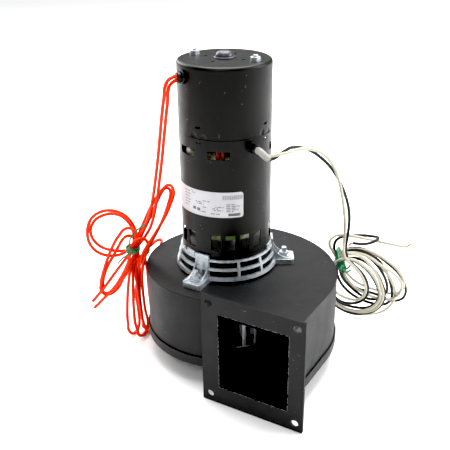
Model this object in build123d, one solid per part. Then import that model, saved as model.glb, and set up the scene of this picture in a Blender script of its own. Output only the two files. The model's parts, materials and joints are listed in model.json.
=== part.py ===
"""Combustion fan: a squirrel-cage blower in a sheet-steel scroll, with its motor on top.

Millimetres, +Z up. The origin is on the motor's axis, in the outer face of the inlet lid.
The outlet faces -Y, and the air turns clockwise seen from above.
"""
import os
from math import asin, cos, degrees, pi, radians, sin, sqrt, tan

from build123d import *

# ---------------------------------------------------------------- driving dimensions
SHEET = 1.2                     # housing steel
HOUSING_HEIGHT = 71.5           # lid's outer face to the top plate's outer face
LID_RIM_HEIGHT = 9.8
LID_RIM_GAP = 0.15

# scroll outline, outside of the wall: three arcs, each tangent to the next
SCROLL_RADIUS_1 = 78.0
SCROLL_RADIUS_2 = 88.0
SCROLL_RADIUS_3 = 100.0
SCROLL_TURN_2 = 184.0           # clockwise from +X, where the second arc starts
SCROLL_TURN_3 = 256.0
TONGUE_RADIUS = 3.0
DUCT_LEFT = 47.4                # outside of the duct's left wall

FLANGE_FACE = -93.4             # front face of the outlet flange
FLANGE_THICKNESS = 2.0
FLANGE_WIDTH = 98.8
FLANGE_HEIGHT = 109.5
FLANGE_CENTRE_X = 78.8
FLANGE_CENTRE_Z = 35.15
FLANGE_HOLE_X = 83.7            # hole spacing
FLANGE_HOLE_Z = 94.0
FLANGE_HOLE_RADIUS = 3.5
LIP_DEPTH = 7.0
LIP_BEND = 3.6

INLET_RADIUS = 46.0
INLET_SEAT_RADIUS = 51.0

WHEEL_RADIUS = 65.0
WHEEL_BLADE_DEPTH = 11.0
WHEEL_BOTTOM = 14.4
WHEEL_TOP = 62.0
BLADE_COUNT = 36
BLADE_THICKNESS = 0.6

SHAFT_RADIUS = 3.97
SHAFT_BOTTOM = 36.0
SHAFT_TOP = 258.0

MOTOR_RADIUS = 42.0
MOTOR_SHEET = 1.0
MOTOR_BOTTOM = 93.2
MOTOR_SEAM = 206.5
MOTOR_TOP = 268.5
CAN_CORNER = 3.0

CORE_BOTTOM = 128.0
CORE_TOP = 173.0
CORE_BORE = 20.9
ROTOR_RADIUS = 20.4
SLOT_COUNT = 24

FOOT_ANGLES = (-90.0, 30.0, 150.0)
STUD_CIRCLE = 55.5
PAD_THICKNESS = 5.0

LOWER_VENT = (9.0, 15.3, 102.0)     # width, height, lowest edge
UPPER_VENT = (19.5, 7.0, 189.4)
TAB_ANGLES = (-93.0, -3.0, 87.0, 177.0)
SEAM_GROOVE = 0.35              # chamfer on both shells where they meet
DENT_RADIUS = 9.0               # crimping tool's nose
DENT_DEPTH = 0.75
DENTS = ((-6.5, MOTOR_SEAM + 2.5), (7.0, MOTOR_SEAM + 1.5))     # beside each tab: degrees, height

RED_DIAMETER = 3.2
POWER_DIAMETER = 3.0
SWITCH_LEAD_ANGLE = -117.5
SWITCH_LEAD_HEIGHT = 257.0
POWER_LEAD_ANGLE = -27.0
POWER_LEAD_HEIGHT = 198.8

parts = {}


# ---------------------------------------------------------------- helpers
def polar(radius, angle, z=0.0):
    """A point at a radius and an angle in degrees from +X."""
    return Vector(radius * cos(radians(angle)), radius * sin(radians(angle)), z)


def tube(outer, inner, bottom, top):
    """A straight tube on the Z axis."""
    body = Pos(0, 0, (bottom + top) / 2) * Cylinder(outer, top - bottom)
    return body - Pos(0, 0, (bottom + top) / 2) * Cylinder(inner, top - bottom + 1)


def disc(radius, bottom, top):
    return Pos(0, 0, (bottom + top) / 2) * Cylinder(radius, top - bottom)


def block(x, y, z):
    """A box from three (low, high) pairs."""
    size = [high - low for low, high in (x, y, z)]
    centre = [(high + low) / 2 for low, high in (x, y, z)]
    return Pos(*centre) * Box(*size)


def spun(points, arc=360.0):
    """A solid of revolution about Z from (radius, z) points."""
    profile = make_face(Polyline([(r, 0, z) for r, z in points], close=True))
    return revolve(profile, Axis.Z, arc)


def sector(inner, outer, bottom, top, middle_angle, arc):
    """Part of a tube, centred on an angle."""
    ring = spun([(inner, bottom), (outer, bottom), (outer, top), (inner, top)], arc)
    return Rot(0, 0, middle_angle - arc / 2) * ring


def at_angle(angle, shape):
    return Rot(0, 0, angle) * shape


def hexagon(across_flats, bottom, top):
    prism = extrude(RegularPolygon(across_flats / sqrt(3), 6), top - bottom)
    return Pos(0, 0, bottom) * prism


def ring_of(shape, angles):
    return [Rot(0, 0, angle) * shape for angle in angles]


def solids_of(shapes):
    """One compound that keeps each shape as its own solid."""
    found = []
    for shape in shapes:
        found += shape.solids()
    return Compound(children=found) if len(found) > 1 else found[0]


# ---------------------------------------------------------------- housing
def on_scroll(centre, radius, turn):
    return centre + polar(radius, -turn)


def scroll_outline(mouth):
    """The outside of the wall as a closed face, its mouth at y = mouth."""
    first = Vector(0, 0)
    second = first + polar(SCROLL_RADIUS_1 - SCROLL_RADIUS_2, -SCROLL_TURN_2)
    third = second + polar(SCROLL_RADIUS_2 - SCROLL_RADIUS_3, -SCROLL_TURN_3)
    duct_right = third.X + SCROLL_RADIUS_3
    tongue_turn = degrees(pi / 2 - asin(DUCT_LEFT / SCROLL_RADIUS_1))
    tongue = on_scroll(first, SCROLL_RADIUS_1, tongue_turn)
    edges = [Line((DUCT_LEFT, mouth), tongue)]
    arcs = (
        (first, SCROLL_RADIUS_1, tongue_turn, SCROLL_TURN_2),
        (second, SCROLL_RADIUS_2, SCROLL_TURN_2, SCROLL_TURN_3),
        (third, SCROLL_RADIUS_3, SCROLL_TURN_3, 360.0),
    )
    for centre, radius, start, end in arcs:
        stops = [on_scroll(centre, radius, turn) for turn in (start, (start + end) / 2, end)]
        edges.append(ThreePointArc(*stops))
    edges.append(Line(on_scroll(third, SCROLL_RADIUS_3, 360.0), (duct_right, mouth)))
    edges.append(Line((duct_right, mouth), (DUCT_LEFT, mouth)))
    face = make_face(edges)
    corner = min(face.vertices(), key=lambda vertex: (vertex.center() - tongue).length)
    return fillet(corner, TONGUE_RADIUS)


FLANGE_BACK = FLANGE_FACE + FLANGE_THICKNESS
OUTLINE = scroll_outline(FLANGE_BACK - 20)
BEHIND_FLANGE = block((-200, 200), (FLANGE_BACK, 200), (-50, 150))
DUCT_RIGHT = OUTLINE.bounding_box().max.X


def rim_edges(plate, level):
    """The outline's edges at the bottom (0) or top (-1), without the one behind the flange."""
    edges = plate.edges().group_by(Axis.Z)[level]
    return edges.filter_by(lambda edge: edge.center().Y > FLANGE_BACK + 1)


def housing():
    """Top plate, wrapped wall and the lid with its lapping rim."""
    plate = extrude(OUTLINE, SHEET) & (Pos(0, 0, SHEET - HOUSING_HEIGHT) * BEHIND_FLANGE)
    plate = Pos(0, 0, HOUSING_HEIGHT - SHEET) * plate
    plate = fillet(rim_edges(plate, -1), 0.9)
    plate -= disc(11.0, 60, 80)
    for angle in FOOT_ANGLES:
        plate -= Pos(*polar(STUD_CIRCLE, angle)) * disc(2.6, 60, 80)
    parts["housing_top_plate"] = plate

    inside = offset(OUTLINE, -SHEET, kind=Kind.INTERSECTION)
    wall = extrude(OUTLINE - inside, HOUSING_HEIGHT - 2 * SHEET)
    parts["scroll_wall"] = (Pos(0, 0, SHEET) * wall) & BEHIND_FLANGE

    rim_inside = offset(OUTLINE, LID_RIM_GAP, kind=Kind.INTERSECTION)
    rim_outside = offset(OUTLINE, LID_RIM_GAP + SHEET, kind=Kind.INTERSECTION)
    pan = extrude(rim_outside, LID_RIM_HEIGHT) & BEHIND_FLANGE
    pan = fillet(rim_edges(pan, 0), 1.0)
    pan -= Pos(0, 0, SHEET) * extrude(rim_inside, LID_RIM_HEIGHT)
    pan -= disc(INLET_SEAT_RADIUS, -1, 5)
    parts["inlet_lid"] = pan


def inlet_ring():
    """Spun bell mouth, seated in the lid and reaching up to the wheel."""
    straight = 8.0
    curve = 5.0
    throat = spun([(INLET_RADIUS, 0), (INLET_SEAT_RADIUS, 0), (INLET_SEAT_RADIUS, SHEET),
                   (INLET_RADIUS + SHEET + curve * 0.3, SHEET), (INLET_RADIUS + SHEET, SHEET + 1.5),
                   (INLET_RADIUS + SHEET, straight + 3), (INLET_RADIUS, straight + 3)])
    parts["inlet_ring"] = throat


def outlet_flange():
    """Flat plate, its opening turned inwards as a lip that the duct slides over."""
    plate = block(
        (FLANGE_CENTRE_X - FLANGE_WIDTH / 2, FLANGE_CENTRE_X + FLANGE_WIDTH / 2),
        (FLANGE_FACE, FLANGE_BACK),
        (FLANGE_CENTRE_Z - FLANGE_HEIGHT / 2, FLANGE_CENTRE_Z + FLANGE_HEIGHT / 2))
    plate = fillet(plate.edges().filter_by(Axis.Y), 1.5)
    slack = 0.1
    width = DUCT_RIGHT - DUCT_LEFT - 2 * SHEET - 2 * slack
    height = HOUSING_HEIGHT - 2 * SHEET - 2 * slack
    lip_sheet = 1.0
    centre = Vector((DUCT_LEFT + DUCT_RIGHT) / 2, FLANGE_FACE, HOUSING_HEIGHT / 2)
    section = Plane(origin=centre, x_dir=(1, 0, 0), z_dir=(0, 1, 0))
    depth = FLANGE_THICKNESS + LIP_DEPTH
    lip = extrude(section * RectangleRounded(width, height, 4.5), depth)
    opening = extrude(section * RectangleRounded(width - 2 * lip_sheet, height - 2 * lip_sheet, 3.5), depth)
    plate = plate + lip - opening
    front = plate.edges().filter_by_position(Axis.Y, FLANGE_FACE - 0.01, FLANGE_FACE + 0.01)
    bend = front.filter_by(lambda e: abs(e.center().X - centre.X) < width / 2
                           and abs(e.center().Z - centre.Z) < height / 2)
    plate = fillet(bend, LIP_BEND)
    for side in (-1, 1):
        for level in (-1, 1):
            spot = Pos(FLANGE_CENTRE_X + side * FLANGE_HOLE_X / 2, FLANGE_FACE,
                       FLANGE_CENTRE_Z + level * FLANGE_HOLE_Z / 2)
            plate -= spot * Rot(90, 0, 0) * Cylinder(FLANGE_HOLE_RADIUS, 20)
    parts["outlet_flange"] = plate


# ---------------------------------------------------------------- wheel
def wheel():
    """Squirrel cage: back plate above, end ring below, forward-curved blades between."""
    inner = WHEEL_RADIUS - WHEEL_BLADE_DEPTH
    parts["impeller_backplate"] = tube(WHEEL_RADIUS, SHAFT_RADIUS + 5.0, WHEEL_TOP, WHEEL_TOP + 1.2)
    parts["impeller_end_ring"] = tube(WHEEL_RADIUS + 0.6, inner + 0.4, WHEEL_BOTTOM - 1.4, WHEEL_BOTTOM)

    lead = 7.0
    tip = polar(WHEEL_RADIUS - 0.6, -lead)
    middle = polar((WHEEL_RADIUS + inner) / 2 - 0.4, 1.2)
    root = polar(inner + 1.0, 0.0)
    back = ThreePointArc(root, middle, tip)
    blade = extrude(make_face(trace(back, BLADE_THICKNESS).edges()), WHEEL_TOP - WHEEL_BOTTOM)
    blade = Pos(0, 0, WHEEL_BOTTOM) * blade
    angles = [360.0 * index / BLADE_COUNT for index in range(BLADE_COUNT)]
    parts["impeller_blades"] = solids_of(ring_of(blade, angles))

    hub = spun([(SHAFT_RADIUS, 40), (10, 40), (10, 60), (14, WHEEL_TOP), (SHAFT_RADIUS + 5, WHEEL_TOP),
                (SHAFT_RADIUS + 5, WHEEL_TOP + 1.2), (8, WHEEL_TOP + 2.4), (SHAFT_RADIUS, WHEEL_TOP + 2.4)])
    across = Pos(7.5, 0, 48) * Rot(0, 90, 0) * Cylinder(2.5, 8)
    parts["impeller_hub"] = hub - across
    screw = Pos(7.2, 0, 48) * Rot(0, 90, 0) * (Cylinder(2.5, 6.4) - Pos(0, 0, 2.4) * hexagon(2.5, -1, 2))
    parts["hub_set_screw"] = screw - disc(SHAFT_RADIUS, 40, 60)


# ---------------------------------------------------------------- motor mount
def cage_radius(z):
    """Outside of the conical mount cage at a height above the plate."""
    return 49.0 - 0.246 * z


def motor_mount():
    base = HOUSING_HEIGHT
    wall = 2.0
    lift = 2.6
    top = 21.5
    clip_top = MOTOR_BOTTOM - base + 4.5
    cage = spun([(cage_radius(lift) - wall, base + lift), (cage_radius(lift), base + lift),
                 (cage_radius(top), base + top), (cage_radius(top) - wall, base + top)])
    rows = ((6.0, 11.6), (14.0, 19.6))
    feet_and_ribs = []
    for angle in FOOT_ANGLES:
        feet_and_ribs += [angle, angle + 45.0, angle + 75.0]
    stops = sorted(feet_and_ribs) + [min(feet_and_ribs) + 360.0]
    half_rib = 1.6
    for start, end in zip(stops, stops[1:]):
        for low, high in rows:
            cage -= sector(35, 60, base + low, base + high, (start + end) / 2, end - start - 2 * half_rib)

    grip = MOTOR_RADIUS + 0.1
    arm_width = 14.5
    pad_out = STUD_CIRCLE + 9.5
    for angle in FOOT_ANGLES:
        arm = block((grip + 0.4, grip + 2.4), (-arm_width / 2, arm_width / 2), (base, base + 26))
        arm -= disc(grip, MOTOR_BOTTOM, base + 40)
        pad = block((grip + 1.0, pad_out), (-9.5, 9.5), (base, base + PAD_THICKNESS))
        pad = fillet(pad.edges().filter_by(Axis.Z).group_by(Axis.X)[-1], 3.0)
        outline = make_face([
            Line((grip + 2, 0, base), (pad_out - 2, 0, base)),
            Line((pad_out - 2, 0, base), (pad_out - 2, 0, base + PAD_THICKNESS + 0.6)),
            ThreePointArc((pad_out - 2, 0, base + PAD_THICKNESS + 0.6), (grip + 6.5, 0, base + 11),
                          (grip + 2.4, 0, base + 26)),
            Line((grip + 2.4, 0, base + 26), (grip + 2, 0, base))])
        web = extrude(outline, 1.3, dir=(0, 1, 0))
        foot = arm + pad + Pos(0, arm_width / 2 - 1.3, 0) * web + Pos(0, -arm_width / 2, 0) * web
        foot -= Pos(STUD_CIRCLE, 0, 0) * disc(2.8, 60, 90)
        clip = sector(grip, grip + 1.3, base + top - 2.5, base + clip_top, -20.0, 15.0)
        cage = cage + at_angle(angle, foot) + at_angle(angle, clip)
    parts["motor_mount_cage"] = cage

    stud = disc(4.2, base - SHEET - 1.3, base - SHEET) + disc(2.4, base - SHEET, base + 14)
    nut = (disc(5.9, base + PAD_THICKNESS, base + PAD_THICKNESS + 1.3)
           + hexagon(8.0, base + PAD_THICKNESS, base + PAD_THICKNESS + 4.6)) - disc(2.4, 60, 100)
    here = [Rot(0, 0, angle) * Pos(STUD_CIRCLE, 0, 0) for angle in FOOT_ANGLES]
    parts["mount_studs"] = solids_of([place * stud for place in here])
    parts["mount_nuts"] = solids_of([place * nut for place in here])


# ---------------------------------------------------------------- motor shells
def can(bottom, top, closed_end):
    """A drawn can, closed at its bottom (-1) or top (+1) end."""
    shell = disc(MOTOR_RADIUS, bottom, top)
    end = shell.edges().group_by(Axis.Z)[0 if closed_end < 0 else -1]
    shell = fillet(end, CAN_CORNER)
    open_rim = shell.edges().group_by(Axis.Z)[-1 if closed_end < 0 else 0]
    shell = chamfer(open_rim, SEAM_GROOVE)
    hollow_bottom = bottom + MOTOR_SHEET if closed_end < 0 else bottom - 1
    hollow_top = top + 1 if closed_end < 0 else top - MOTOR_SHEET
    hollow = disc(MOTOR_RADIUS - MOTOR_SHEET, hollow_bottom, hollow_top)
    end = hollow.edges().group_by(Axis.Z)[0 if closed_end < 0 else -1]
    return shell - fillet(end, CAN_CORNER - MOTOR_SHEET)


def window(width, height, bottom, angle):
    """A square-cornered hole through the can's wall."""
    arc = degrees(width / MOTOR_RADIUS)
    return sector(MOTOR_RADIUS - 4, MOTOR_RADIUS + 4, bottom, bottom + height, angle, arc)


def motor_shells():
    lower = can(MOTOR_BOTTOM, MOTOR_SEAM, -1) - disc(9.0, 80, 100)
    for quarter in range(4):
        for step in (-1.5, -0.5, 0.5, 1.5):
            lower -= window(*LOWER_VENT, 45 + 90 * quarter + 18.5 * step)
    for index in range(8):
        angle = 22.5 + 45 * index
        if abs(angle - 337.5) > 1:
            lower -= window(*UPPER_VENT, angle)
    for angle in TAB_ANGLES:
        lower -= window(6.0, 1.4, MOTOR_SEAM - 4.2, angle + 1)
    gland = Rot(0, 0, POWER_LEAD_ANGLE) * Pos(MOTOR_RADIUS, 0, POWER_LEAD_HEIGHT) * Rot(0, 90, 0)
    lower -= gland * Cylinder(3.6, 12)
    parts["motor_lower_shell"] = lower

    upper = can(MOTOR_SEAM, MOTOR_TOP, 1) - disc(7.0, 260, 280)
    for angle in TAB_ANGLES:
        upper -= window(4.9, 1.8, MOTOR_SEAM + 9.0, angle)
        for offset, level in DENTS:
            centre = polar(MOTOR_RADIUS + DENT_RADIUS - DENT_DEPTH, angle + offset, level)
            upper -= Pos(*centre) * Sphere(DENT_RADIUS)
    for angle in (0, 90, 180, 270):
        upper -= at_angle(angle, block((17.5, 20.5), (-1.2, 1.2), (260, 280)))
    for angle in (0, 180):
        upper -= Pos(*polar(30.5, angle)) * disc(2.3, 260, 280)
    gland = Rot(0, 0, SWITCH_LEAD_ANGLE) * Pos(MOTOR_RADIUS, 0, SWITCH_LEAD_HEIGHT) * Rot(0, 90, 0)
    upper -= gland * Cylinder(5.0, 12)
    parts["motor_upper_shell"] = upper

    plate = sector(MOTOR_RADIUS, MOTOR_RADIUS + 0.25, 135.5, 159.5, -101.5, 127.0)
    ends = plate.edges().filter_by(lambda e: 0.2 < e.length < 0.3)
    parts["nameplate"] = fillet(ends, 2.5)

    dome = disc(7.8, MOTOR_TOP, MOTOR_TOP + 6.0)
    dome = fillet(dome.edges().group_by(Axis.Z)[-1], 4.8)
    plug = disc(6.9, MOTOR_TOP - 2.5, MOTOR_TOP)
    parts["shaft_cap"] = dome + rounded_disc(9.2, MOTOR_TOP, MOTOR_TOP + 1.4) + plug


# ---------------------------------------------------------------- motor insides
def motor_insides():
    seat = 8.0
    inner = MOTOR_RADIUS - MOTOR_SHEET
    lower = tube(inner - CAN_CORNER, seat, MOTOR_BOTTOM + MOTOR_SHEET, MOTOR_BOTTOM + 3.5)
    parts["lower_end_bracket"] = lower + tube(10.0, seat, MOTOR_BOTTOM + MOTOR_SHEET, 106.0)
    upper = tube(inner, seat, MOTOR_SEAM - 3.0, MOTOR_SEAM) + tube(10.0, seat, 194.5, MOTOR_SEAM)
    parts["upper_end_bracket"] = upper
    clearance = 0.03
    bore = SHAFT_RADIUS + clearance
    sleeves = [tube(seat, bore, MOTOR_BOTTOM + MOTOR_SHEET, 107.0), tube(seat, bore, 193.5, MOTOR_SEAM)]
    parts["shaft_bearings"] = solids_of(sleeves)

    core = tube(inner, CORE_BORE, CORE_BOTTOM, CORE_TOP)
    slots = []
    bars = []
    for index in range(SLOT_COUNT):
        angle = 360.0 * index / SLOT_COUNT
        slots.append(at_angle(angle, block((23, 33), (-1.7, 1.7), (CORE_BOTTOM - 1, CORE_TOP + 1))))
        bars.append(at_angle(angle, block((23.5, 32.5), (-1.3, 1.3), (CORE_BOTTOM - 2, CORE_TOP + 2))))
    for slot in slots:
        core -= slot
    parts["stator_core"] = core
    low_turns = tube(35.5, 23.2, 108.5, CORE_BOTTOM - 1.5)
    high_turns = tube(35.5, 23.2, CORE_TOP + 1.5, 189.0)
    turns = [fillet(ring.edges(), 3.5) for ring in (low_turns, high_turns)]
    winding = turns[0] + turns[1]
    for bar in bars:
        winding += bar
    parts["stator_windings"] = winding

    parts["rotor_core"] = tube(ROTOR_RADIUS, SHAFT_RADIUS, CORE_BOTTOM, CORE_TOP)
    rings = [tube(ROTOR_RADIUS - 1, 12, low, low + 6) for low in (CORE_BOTTOM - 6, CORE_TOP)]
    parts["rotor_end_rings"] = solids_of(rings)
    parts["motor_shaft"] = disc(SHAFT_RADIUS, SHAFT_BOTTOM, SHAFT_TOP)
    washers = [tube(7, SHAFT_RADIUS, 107.3, 108.3), tube(7, SHAFT_RADIUS, 192.2, 193.2)]
    parts["thrust_collars"] = solids_of(washers)
    fan = tube(7.5, SHAFT_RADIUS, 109, 120) + tube(13, SHAFT_RADIUS, 119, 120)
    vane = block((6, 21.5), (-0.6, 0.6), (110, 120))
    for index in range(8):
        fan += at_angle(45.0 * index, vane)
    parts["cooling_fan"] = fan

    stud = disc(2.1, MOTOR_SEAM, MOTOR_TOP + 5.2)
    nut = hexagon(8.0, MOTOR_TOP, MOTOR_TOP + 3.6) - disc(2.1, 260, 280)
    spots = [Pos(*polar(30.5, angle)) for angle in (0, 180)]
    parts["cover_studs"] = solids_of([spot * stud for spot in spots])
    parts["cover_nuts"] = solids_of([spot * Rot(0, 0, 12) * nut for spot in spots])


# ---------------------------------------------------------------- proving switch
PIVOT_X = 11.5                  # flyweight pin, from the shaft's axis
PIVOT_Z = 251.0
WEIGHT_BOTTOM = 233.0
LEVER_PIVOT_X = 23.0
LEVER_PIVOT_Z = 226.6


def proving_switch():
    """Flyweights on a hub lift a collar, and the collar lets the contact lever rise."""
    hub = tube(7.5, SHAFT_RADIUS, 247.5, 256.0)
    pins = []
    weights = []
    for side in (-1, 1):
        for edge in (-1, 1):
            ear = block((5, PIVOT_X + 2), (4.6, 6.2), (PIVOT_Z - 2, PIVOT_Z + 2))
            ear = ear if edge > 0 else mirror(ear, Plane.XZ)
            ear = ear if side > 0 else mirror(ear, Plane.YZ)
            hub += ear
        turn = Rot(90, 0, 0)
        pin_spot = Pos(side * PIVOT_X, 0, PIVOT_Z) * turn
        hub -= pin_spot * Cylinder(1.0, 20)
        pins.append(pin_spot * Cylinder(1.0, 13.4))
        weight = block((PIVOT_X - 1.6, PIVOT_X + 1.6), (-4, 4), (WEIGHT_BOTTOM + 1, PIVOT_Z + 2))
        weight += block((PIVOT_X - 1.6, PIVOT_X + 5.5), (-4, 4), (WEIGHT_BOTTOM, WEIGHT_BOTTOM + 9))
        weight = fillet(weight.edges().filter_by(Axis.Y).group_by(Axis.Z)[0], 1.0)
        weight = weight if side > 0 else mirror(weight, Plane.YZ)
        weights.append(weight - pin_spot * Cylinder(1.05, 20))
    parts["switch_hub"] = hub
    parts["flyweight_pins"] = solids_of(pins)
    parts["flyweight_left"], parts["flyweight_right"] = weights

    bore = SHAFT_RADIUS + 0.05
    parts["switch_collar"] = tube(15.0, bore, 227.6, 229.2) + tube(6.6, bore, 227.6, 239.0)

    wire = 0.45
    rise = 1.9
    helix = Helix(pitch=rise, height=8.5 - 2 * wire, radius=5.6)
    start = Plane(origin=helix @ 0, z_dir=helix % 0)
    coil = sweep(start * Circle(wire), path=helix)
    parts["collar_spring"] = Pos(0, 0, 239.0 + wire) * coil

    board = tube(36.5, 17.5, 221.5, 223.5)
    for angle in (0, 180):
        board -= Pos(*polar(30.5, angle)) * disc(2.5, 200, 240)
    parts["switch_board"] = board
    posts = [Pos(*polar(27.0, angle)) * hexagon(5.0, MOTOR_SEAM, 221.5) for angle in (70, 190, 310)]
    parts["board_posts"] = solids_of(posts)

    reach = (LEVER_PIVOT_X - 2, LEVER_PIVOT_X + 2)
    ears = [block(reach, (low, low + 1), (223.5, 228.6)) for low in (4.0, -5.0)]
    across = Pos(LEVER_PIVOT_X, 0, LEVER_PIVOT_Z) * Rot(90, 0, 0)
    parts["lever_bracket"] = solids_of([ear - across * Cylinder(0.8, 20) for ear in ears])
    parts["lever_pin"] = across * Cylinder(0.8, 11.0)
    lever = block((9.0, LEVER_PIVOT_X + 1.4), (-3.2, 3.2), (LEVER_PIVOT_Z - 0.4, LEVER_PIVOT_Z + 0.4))
    lever += across * Cylinder(1.5, 6.4)
    parts["contact_lever"] = lever - across * Cylinder(0.85, 20)

    blades = [block((-29, -22.7), (low, low + 0.8), (223.5, 231.5)) for low in (-9.0, 8.2)]
    parts["contact_terminals"] = solids_of(blades)


# ---------------------------------------------------------------- leads
def round_corners(points):
    """The largest tangent radius that each corner of a route allows."""
    radii = []
    for before, here, after in zip(points, points[1:], points[2:]):
        first = Vector(*here) - Vector(*before)
        second = Vector(*after) - Vector(*here)
        half_turn = radians(first.get_angle(second) / 2)
        radii.append(0.45 * min(first.length, second.length) / tan(half_turn))
    return radii


def lead(name, points, diameter):
    """A round lead along straight runs joined by tangent arcs."""
    radii = round_corners(points)
    path = FilletPolyline(*points, radius=radii)
    end = Plane(origin=path @ 0, z_dir=path % 0)
    solid = sweep(end * Circle(diameter / 2), path=path)
    parts[name] = solid
    section = pi * diameter ** 2 / 4
    ratio = solid.volume / (section * path.length)
    print(name, "length", round(path.length, 1), "volume ratio", round(ratio, 3),
          "radii", [round(radius, 1) for radius in radii])


def rounded_disc(radius, bottom, top):
    """A disc with its upper rim rounded."""
    plain = disc(radius, bottom, top)
    return fillet(plain.edges().group_by(Axis.Z)[-1], 0.9)


def bushings():
    """Snap-in strain reliefs, each on a radial axis through the can's wall."""
    big = Rot(0, 0, SWITCH_LEAD_ANGLE) * Pos(MOTOR_RADIUS, 0, SWITCH_LEAD_HEIGHT) * Rot(0, 90, 0)
    bushing = rounded_disc(6.3, 0, 2.4) + disc(4.9, -5, 0) + rounded_disc(4.6, 2, 5.4)
    bushing = big * bushing - disc(MOTOR_RADIUS - MOTOR_SHEET - 4, 200, 280)
    shell_cut = tube(MOTOR_RADIUS + 0.05, 30, 230, 280) - big * Cylinder(4.95, 20)
    parts["switch_lead_bushing"] = bushing - shell_cut

    small = Rot(0, 0, POWER_LEAD_ANGLE) * Pos(MOTOR_RADIUS, 0, POWER_LEAD_HEIGHT) * Rot(0, 90, 0)
    bushing = small * (rounded_disc(4.7, 0, 2.6) + disc(3.5, -4, 0) + rounded_disc(4.4, 2, 9.5))
    shell_cut = tube(MOTOR_RADIUS + 0.05, 30, 180, 220) - small * Cylinder(3.55, 20)
    parts["power_lead_bushing"] = bushing - shell_cut


SLEEVE_ROUTE = [(45.0, -22.9, 198.8), (50.1, -25.5, 198.2), (53.8, -24.6, 194.8), (55.8, -21.8, 192.6)]


def power_sleeve():
    """Short insulating sleeve over both power leads where they leave their bushing."""
    path = FilletPolyline(*SLEEVE_ROUTE, radius=[3.5, 3.5])
    end = Plane(origin=path @ 0, z_dir=path % 0)
    sleeve = sweep(end * Circle(3.1), path=path)
    parts["power_lead_sleeve"] = sleeve - parts["power_lead_bushing"]


LEAD_ROUTES = {
    "red_lead_1": [
        (-21.9, -42.0, 258.8), (-24.6, -48.6, 257.4), (-26.2, -51.6, 251.4), (-28.0, -52.4, 243.0),
        (-31.6, -51.4, 229.5), (-37.0, -48.5, 208.0), (-43.0, -44.3, 187.5), (-49.6, -40.8, 165.0),
        (-56.4, -37.6, 141.5), (-64.2, -35.5, 117.5), (-73.0, -36.5, 99.0), (-78.6, -39.0, 88.0)],
    "red_lead_2": [
        (-21.9, -42.0, 255.2), (-24.2, -47.0, 253.2), (-25.0, -49.0, 246.5), (-26.6, -49.4, 238.5),
        (-30.0, -48.2, 225.0), (-35.4, -45.0, 205.0), (-41.4, -41.0, 184.0), (-48.2, -37.0, 161.5),
        (-55.0, -33.6, 138.0), (-62.6, -31.2, 114.5), (-70.6, -32.4, 97.5), (-77.4, -35.0, 88.0)],
    "black_lead": [
        (55.4, -22.2, 191.2), (58.0, -15.6, 190.4), (60.5, -5.4, 194.3), (65.1, 6.6, 197.1),
        (74.0, 26.4, 188.8), (85.2, 45.2, 169.6), (93.1, 59.7, 144.4), (97.4, 69.3, 118.1),
        (96.2, 72.6, 94.0), (90.1, 72.0, 75.3)],
    "white_lead": [
        (55.7, -21.5, 194.3), (60.2, -17.2, 195.0), (66.1, -9.1, 195.0), (73.8, 5.4, 196.9),
        (82.9, 23.5, 190.8), (90.5, 37.9, 175.3), (93.6, 49.6, 152.0), (94.9, 58.5, 127.8),
        (95.1, 65.6, 103.1), (93.9, 68.4, 86.6), (90.5, 67.5, 72.9)],
    "white_tail": [
        (84.5, 65.2, 72.0), (80.5, 63.0, 79.2), (80.2, 64.7, 85.8), (84.8, 69.6, 89.8),
        (92.5, 75.0, 89.2), (106.0, 83.5, 85.6), (124.1, 93.2, 80.7), (145.6, 102.5, 76.7)],
    "black_tail": [
        (86.8, 68.6, 71.5), (83.2, 68.0, 77.4), (83.8, 72.0, 83.4), (89.4, 78.6, 85.8),
        (98.5, 86.8, 85.2), (106.6, 92.8, 84.4), (114.0, 95.6, 83.8), (120.0, 93.0, 85.4),
        (122.2, 85.6, 86.6), (118.2, 78.2, 84.8), (110.6, 72.6, 84.0), (102.6, 69.0, 85.0)],
    "red_tail_1": [
        (-82.9, -48.5, 76.0), (-94.6, -55.2, 58.0), (-106.4, -60.8, 40.5), (-119.2, -65.2, 24.0)],
    "red_tail_2": [
        (-80.4, -46.8, 74.0), (-87.0, -54.2, 55.5), (-98.6, -61.0, 37.5), (-115.1, -68.0, 19.0)],
}


def leads():
    """The stretches of every lead that are not coiled."""
    for name, route in LEAD_ROUTES.items():
        diameter = RED_DIAMETER if name.startswith("red") else POWER_DIAMETER
        lead(name, route, diameter)
    tips = []
    for tail in ("white_tail", "black_tail"):
        before, end = [Vector(*point) for point in LEAD_ROUTES[tail][-2:]]
        strands = Plane(origin=end, z_dir=end - before)
        tips.append(extrude(strands * Circle(0.9), 7.0))
    parts["bare_wire_ends"] = solids_of(tips)


HANG_TURN = 30.6                # the loose loops hang in an upright plane turned this far about Z


def hung(outline, near, far):
    """A flat closed solid in the hanging plane, from (across, height) points."""
    face = make_face(Spline(*[(x, z) for x, z in outline], periodic=True))
    slab = extrude(face, far - near)
    return Rot(0, 0, HANG_TURN) * Pos(0, far, 0) * Rot(90, 0, 0) * slab


NECK = (-91.0, 8.0)             # where the red leads are tied, across and depth


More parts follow.
